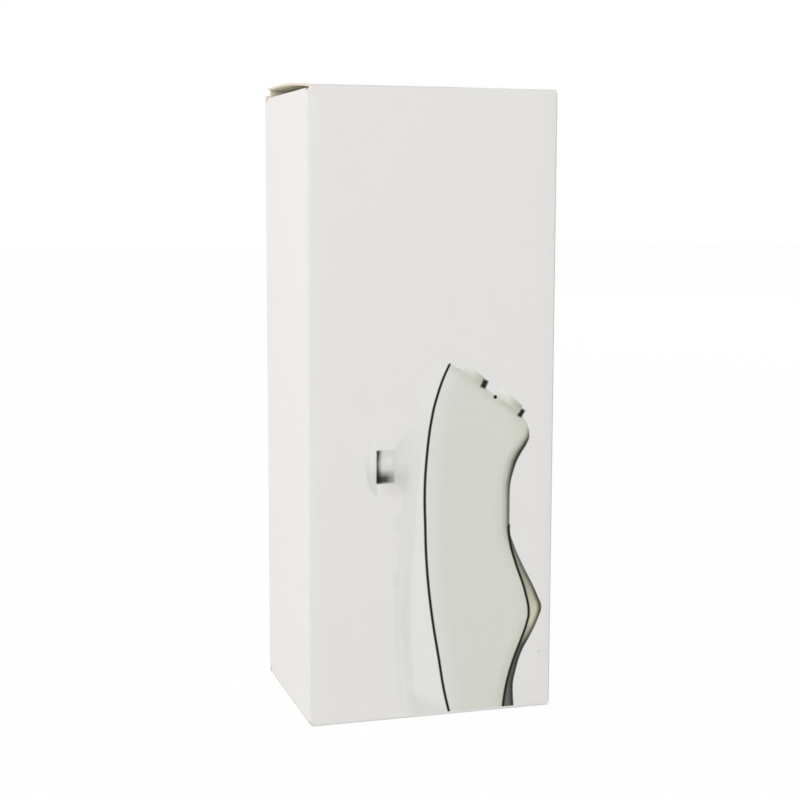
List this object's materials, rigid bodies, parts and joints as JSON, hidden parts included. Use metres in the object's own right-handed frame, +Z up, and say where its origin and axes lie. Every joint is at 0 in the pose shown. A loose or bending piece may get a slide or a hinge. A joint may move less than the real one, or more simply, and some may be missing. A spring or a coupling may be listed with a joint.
{
  "type": "boxed remote control",
  "caption": "Tall tuck-end carton with a printed side view on its front; inside stands a hand-held remote control with thumb stick, triggers and batteries.",
  "frame": {"origin": "middle of the carton's footprint, on the ground it stands on", "axes": "+Z up along the carton, +Y from the printed front to the back, +X to the right as seen from the front; the thumb stick points to -X, the battery cover to +X"},
  "size_m": [0.0546, 0.0424, 0.1375],
  "materials": {
    "carton_board": "white coated face, satin",
    "shell_light": "fine satin",
    "shell_grey": "fine satin",
    "cover_slate": "fine satin",
    "trigger_plastic": "satin",
    "button_rubber": "matte",
    "stick_rubber": "matte",
    "stick_plastic": "satin",
    "dark_plastic": "satin",
    "light_plastic": "translucent",
    "indicator_dark": "gloss",
    "board_green": "satin solder mask",
    "switch_metal": "stamped steel",
    "spring_steel": "nickel plated",
    "contact_steel": "nickel plated",
    "screw_steel": "blackened",
    "ribbon_film": "polyimide film",
    "connector_plastic": "satin",
    "cell_jacket": "printed film",
    "chip_black": "moulded",
    "can_metal": "drawn can",
    "passive_ceramic": "ceramic",
    "status_clear": "clear resin"
  },
  "bodies": {
    "carton": {"front_panel": "carton_board", "back_panel": "carton_board", "left_panel": "carton_board", "right_panel": "carton_board", "glue_flap": "carton_board"},
    "top_lid": {"top_lid": "carton_board"},
    "top_tongue": {"top_tongue": "carton_board"},
    "top_dust_flap_left": {"top_dust_flap_left": "carton_board"},
    "top_dust_flap_right": {"top_dust_flap_right": "carton_board"},
    "bottom_lid": {"bottom_lid": "carton_board"},
    "bottom_tongue": {"bottom_tongue": "carton_board"},
    "bottom_dust_flap_left": {"bottom_dust_flap_left": "carton_board"},
    "bottom_dust_flap_right": {"bottom_dust_flap_right": "carton_board"},
    "remote": {"battery_cell_1": "cell_jacket", "battery_cell_2": "cell_jacket", "battery_springs": "spring_steel", "board_passives": "passive_ceramic", "board_screws": "screw_steel", "button_switches": "switch_metal", "contact_bridge": "contact_steel", "contact_plates": "contact_steel", "crystal": "can_metal", "light_pipe": "light_plastic", "lower_shell": "shell_grey", "main_board": "board_green", "mode_switch": "switch_metal", "nose_indicator": "indicator_dark", "processor": "chip_black", "radio_module": "can_metal", "ribbon_connector": "connector_plastic", "shell_screws": "screw_steel", "status_light": "status_clear", "stick_housing": "switch_metal", "trigger_board": "board_green", "trigger_board_screws": "screw_steel", "trigger_ribbon": "ribbon_film", "trigger_switches": "switch_metal", "upper_shell": "shell_light"},
    "gimbal": {"gimbal_ring": "dark_plastic"},
    "stick": {"stick_stem": "stick_plastic", "stick_cap": "stick_rubber"},
    "power_button": {"power_button": "button_rubber"},
    "button_top": {"button_top": "button_rubber"},
    "button_left": {"button_left": "button_rubber"},
    "button_right": {"button_right": "button_rubber"},
    "button_bottom": {"button_bottom": "button_rubber"},
    "upper_trigger": {"upper_trigger": "trigger_plastic"},
    "lower_trigger": {"lower_trigger": "trigger_plastic"},
    "mode_knob": {"mode_knob": "dark_plastic"},
    "battery_cover": {"battery_cover": "cover_slate"}
  },
  "joints": [
    {"name": "remote_lift", "type": "slide", "parent": "carton", "child": "remote", "axis": [0, 0, 1], "range_m": [0, 0.105]},
    {"name": "top_lid_hinge", "type": "hinge", "parent": "carton", "child": "top_lid", "pos_m": [0, -0.021, 0.13475], "axis": [1, 0, 0], "range_deg": [0, 200.5]},
    {"name": "top_tongue_fold", "type": "hinge", "parent": "top_lid", "child": "top_tongue", "pos_m": [0, 0.01992, 0.13725], "axis": [-1, 0, 0], "range_deg": [0, 20.5]},
    {"name": "top_dust_flap_left_hinge", "type": "hinge", "parent": "carton", "child": "top_dust_flap_left", "pos_m": [-0.027, 0, 0.13425], "axis": [0, -1, 0], "range_deg": [0, 176.5]},
    {"name": "top_dust_flap_right_hinge", "type": "hinge", "parent": "carton", "child": "top_dust_flap_right", "pos_m": [0.027, 0, 0.13425], "axis": [0, 1, 0], "range_deg": [0, 176.5]},
    {"name": "bottom_lid_hinge", "type": "hinge", "parent": "carton", "child": "bottom_lid", "pos_m": [0, -0.021, 0.0002], "axis": [-1, 0, 0], "range_deg": [0, 150]},
    {"name": "bottom_tongue_fold", "type": "hinge", "parent": "bottom_lid", "child": "bottom_tongue", "pos_m": [0, 0.02, 0.0002], "axis": [1, 0, 0], "range_deg": [0, 15.5]},
    {"name": "bottom_dust_flap_left_hinge", "type": "hinge", "parent": "carton", "child": "bottom_dust_flap_left", "pos_m": [-0.027, 0, 0.0007], "axis": [0, 1, 0], "range_deg": [0, 132.5]},
    {"name": "bottom_dust_flap_right_hinge", "type": "hinge", "parent": "carton", "child": "bottom_dust_flap_right", "pos_m": [0.027, 0, 0.0007], "axis": [0, -1, 0], "range_deg": [0, 132.5]},
    {"name": "stick_gimbal", "type": "hinge", "parent": "remote", "child": "gimbal", "pos_m": [-0.007, 0, 0.10005], "axis": [0, 1, 0], "range_deg": [-11, 11], "stiffness_Nm_per_rad": 0.02},
    {"name": "stick_tilt", "type": "hinge", "parent": "gimbal", "child": "stick", "pos_m": [-0.007, 0, 0.10005], "axis": [0, 0, 1], "range_deg": [-11, 11], "stiffness_Nm_per_rad": 0.02},
    {"name": "power_button_press", "type": "slide", "parent": "remote", "child": "power_button", "axis": [1, 0, 0], "range_m": [0, 0.0006], "stiffness_N_per_m": 200, "springref_m": -0.003},
    {"name": "button_top_press", "type": "slide", "parent": "remote", "child": "button_top", "axis": [1, 0, 0], "range_m": [0, 0.0006], "stiffness_N_per_m": 200, "springref_m": -0.003},
    {"name": "button_left_press", "type": "slide", "parent": "remote", "child": "button_left", "axis": [1, 0, 0], "range_m": [0, 0.0006], "stiffness_N_per_m": 200, "springref_m": -0.003},
    {"name": "button_right_press", "type": "slide", "parent": "remote", "child": "button_right", "axis": [1, 0, 0], "range_m": [0, 0.0006], "stiffness_N_per_m": 200, "springref_m": -0.003},
    {"name": "button_bottom_press", "type": "slide", "parent": "remote", "child": "button_bottom", "axis": [1, 0, 0], "range_m": [0, 0.0006], "stiffness_N_per_m": 200, "springref_m": -0.003},
    {"name": "upper_trigger_press", "type": "slide", "parent": "remote", "child": "upper_trigger", "axis": [-0.6252, 0, -0.7804], "range_m": [0, 0.0008], "stiffness_N_per_m": 200, "springref_m": -0.003},
    {"name": "lower_trigger_press", "type": "slide", "parent": "remote", "child": "lower_trigger", "axis": [-0.6252, 0, -0.7804], "range_m": [0, 0.0008], "stiffness_N_per_m": 200, "springref_m": -0.003},
    {"name": "mode_slide", "type": "slide", "parent": "remote", "child": "mode_knob", "axis": [0, 0, 1], "range_m": [0, 0.0024]},
    {"name": "battery_cover_release", "type": "slide", "parent": "remote", "child": "battery_cover", "axis": [1, 0, 0], "range_m": [0, 0.006]}
  ],
  "couplings": [
    {"joint": "top_lid_hinge", "follows": "remote_lift", "rad_per_m": 33.244},
    {"joint": "top_tongue_fold", "follows": "remote_lift", "rad_per_m": 3.3244},
    {"joint": "top_dust_flap_left_hinge", "follows": "remote_lift", "rad_per_m": 29.255},
    {"joint": "top_dust_flap_right_hinge", "follows": "remote_lift", "rad_per_m": 29.255},
    {"joint": "bottom_tongue_fold", "follows": "bottom_lid_hinge", "ratio": 0.1},
    {"joint": "bottom_dust_flap_left_hinge", "follows": "bottom_lid_hinge", "ratio": 0.88},
    {"joint": "bottom_dust_flap_right_hinge", "follows": "bottom_lid_hinge", "ratio": 0.88}
  ]
}
